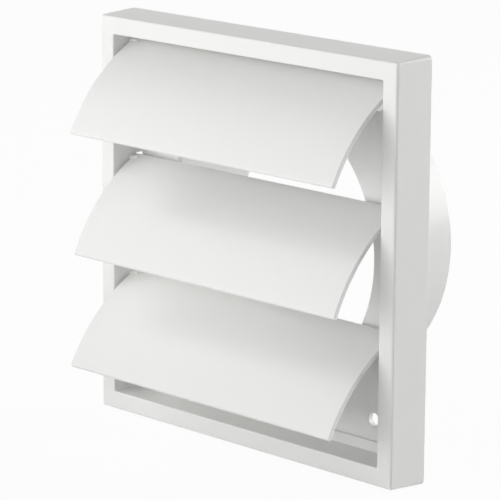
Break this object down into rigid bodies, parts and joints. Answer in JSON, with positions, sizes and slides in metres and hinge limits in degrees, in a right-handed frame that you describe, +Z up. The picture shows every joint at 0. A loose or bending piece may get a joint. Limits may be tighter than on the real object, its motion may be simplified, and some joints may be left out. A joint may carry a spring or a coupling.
{
  "type": "gravity flap wall vent cover",
  "caption": "Square white plastic wall cover for an extractor duct, with curved gravity flaps that hang in a framed opening and a round spigot behind.",
  "frame": {"origin": "on the axis of the round spigot, in the plane of the wall that the cover's back rests on", "axes": "+Y along the spigot into the wall, +X to the right as seen from in front of the cover, +Z up"},
  "size_m": [0.14, 0.0699, 0.14],
  "materials": {
    "housing_plastic": "satin white moulded plastic with a fine grain",
    "flap_plastic": "satin white moulded plastic with a fine grain"
  },
  "bodies": {
    "housing": {"housing": "housing_plastic"},
    "upper_flap": {"upper_flap": "flap_plastic"},
    "middle_flap": {"middle_flap": "flap_plastic"},
    "lower_flap": {"lower_flap": "flap_plastic"}
  },
  "joints": [
    {"name": "upper_flap_hinge", "type": "hinge", "parent": "housing", "child": "upper_flap", "pos_m": [0, -0.0068, 0.05985], "axis": [-1, 0, 0], "range_deg": [-40.6, 12.4]},
    {"name": "middle_flap_hinge", "type": "hinge", "parent": "housing", "child": "middle_flap", "pos_m": [0, -0.0068, 0.01917], "axis": [-1, 0, 0], "range_deg": [-37.7, 15.3]},
    {"name": "lower_flap_hinge", "type": "hinge", "parent": "housing", "child": "lower_flap", "pos_m": [0, -0.0068, -0.02152], "axis": [-1, 0, 0], "range_deg": [-47.7, 11.8]}
  ]
}
